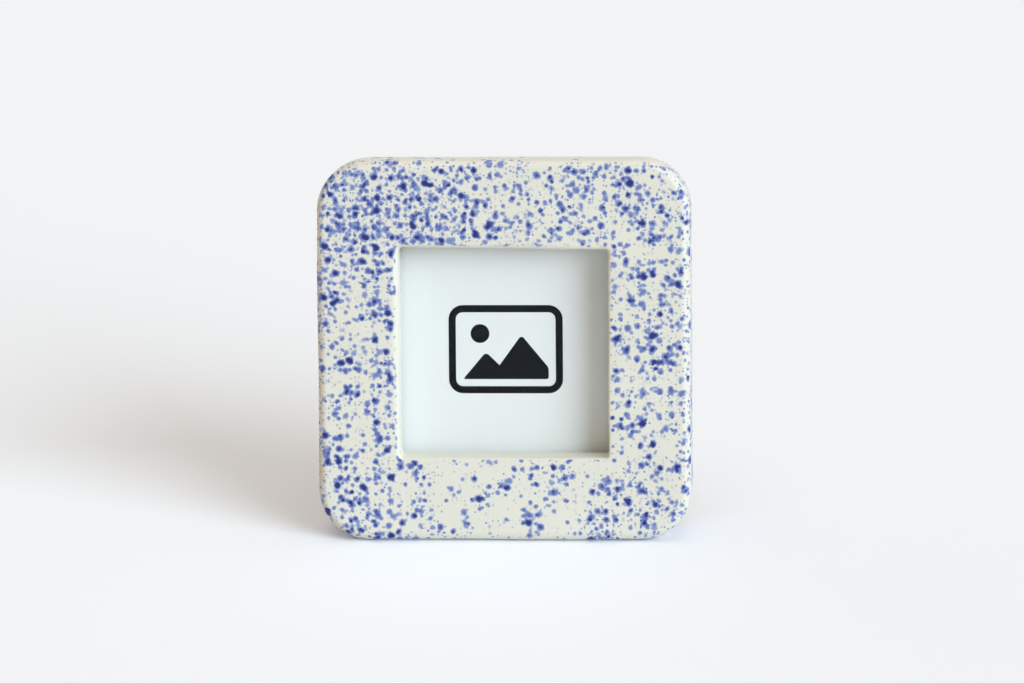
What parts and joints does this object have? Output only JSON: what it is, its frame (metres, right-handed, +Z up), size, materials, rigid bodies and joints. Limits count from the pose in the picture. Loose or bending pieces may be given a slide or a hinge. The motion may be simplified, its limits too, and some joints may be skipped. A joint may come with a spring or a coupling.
{
  "type": "photo frame",
  "caption": "Thick square table photo frame of speckled glazed stoneware with rounded corners, glazed window, removable back held by turn buttons, and a hinged easel strut with a ribbon stay.",
  "frame": {"origin": "centre of the footprint's box, on the floor that the frame stands on", "axes": "+Z up, +Y from the picture's side to the strut's side, +X to the viewer's right; the ceramic body leans 12 degrees back about X"},
  "size_m": [0.13, 0.0602, 0.1303],
  "materials": {
    "glazed_stoneware": "satin",
    "float_glass": "polished",
    "white_card": "matte",
    "grey_board": "matte",
    "black_flock": "matte",
    "brass": "satin",
    "nylon": "matte",
    "nickel_plated_steel": "satin",
    "black_satin": "satin"
  },
  "bodies": {
    "frame": {"ceramic_frame": "glazed_stoneware", "glass_pane": "float_glass", "picture_card": "white_card", "packing_board": "grey_board", "back_board": "black_flock", "screw_plug_upper_left": "nylon", "screw_plug_upper_right": "nylon", "screw_plug_lower_left": "nylon", "screw_plug_lower_right": "nylon", "button_screw_upper_left": "brass", "button_screw_upper_right": "brass", "button_screw_lower_left": "brass", "button_screw_lower_right": "brass", "hinge_leaf_fixed": "nickel_plated_steel", "hinge_pin": "nickel_plated_steel", "fixed_leaf_rivet_left": "nickel_plated_steel", "fixed_leaf_rivet_right": "nickel_plated_steel", "ribbon_stay": "black_satin", "ribbon_rivet_board": "nickel_plated_steel"},
    "strut": {"strut": "black_flock", "hinge_leaf_moving": "nickel_plated_steel", "moving_leaf_rivet_left": "nickel_plated_steel", "moving_leaf_rivet_right": "nickel_plated_steel", "ribbon_rivet_strut": "nickel_plated_steel"},
    "turn_button_upper_left": {"turn_button_upper_left": "brass"},
    "turn_button_upper_right": {"turn_button_upper_right": "brass"},
    "turn_button_lower_left": {"turn_button_lower_left": "brass"},
    "turn_button_lower_right": {"turn_button_lower_right": "brass"}
  },
  "joints": [
    {"name": "strut_fold", "type": "hinge", "parent": "frame", "child": "strut", "pos_m": [0, 0.01048, 0.08575], "axis": [1, 0, 0], "range_deg": [-24, 0], "deforming": ["ribbon_stay"]},
    {"name": "turn_upper_left", "type": "hinge", "parent": "frame", "child": "turn_button_upper_left", "pos_m": [-0.048, 0.00777, 0.08454], "axis": [0, 0.9781, -0.2079], "continuous": true},
    {"name": "turn_upper_right", "type": "hinge", "parent": "frame", "child": "turn_button_upper_right", "pos_m": [0.048, 0.00777, 0.08454], "axis": [0, 0.9781, -0.2079], "continuous": true},
    {"name": "turn_lower_left", "type": "hinge", "parent": "frame", "child": "turn_button_lower_left", "pos_m": [-0.048, -0.00221, 0.03759], "axis": [0, 0.9781, -0.2079], "continuous": true},
    {"name": "turn_lower_right", "type": "hinge", "parent": "frame", "child": "turn_button_lower_right", "pos_m": [0.048, -0.00221, 0.03759], "axis": [0, 0.9781, -0.2079], "continuous": true}
  ]
}
